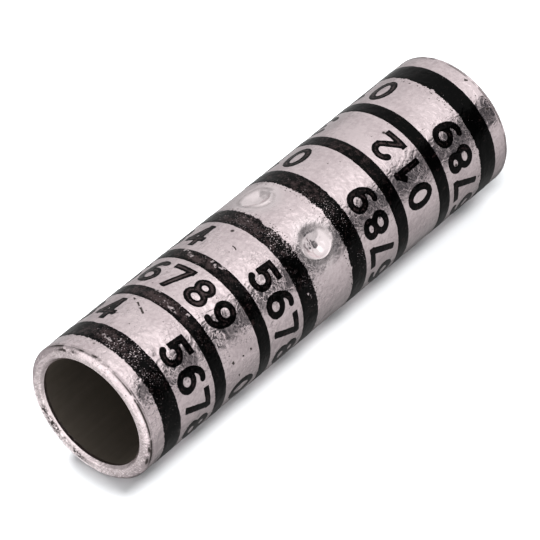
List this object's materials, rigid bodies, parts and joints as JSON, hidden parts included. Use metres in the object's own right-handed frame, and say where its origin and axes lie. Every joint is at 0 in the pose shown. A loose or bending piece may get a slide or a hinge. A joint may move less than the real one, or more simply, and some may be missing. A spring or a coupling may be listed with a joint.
{
  "type": "compression splice",
  "caption": "Straight plated copper tube with a bore from each end, a punched wire stop at mid-length and printed crimp bands, for joining two stranded wires end to end.",
  "frame": {"origin": "middle of the end that the splice stands on", "axes": "+Z along the tube; the two pairs of dimples face -Y and +Y"},
  "size_m": [0.0144, 0.0144, 0.053],
  "materials": {
    "tin_plate": "bright tin plate over copper, slightly pink, finely pitted and scuffed",
    "print_ink": "black printed ink, half matte, flaked and scratched"
  },
  "bodies": {
    "root": {"barrel": "tin_plate", "ink_bands": "print_ink"}
  },
  "joints": []
}
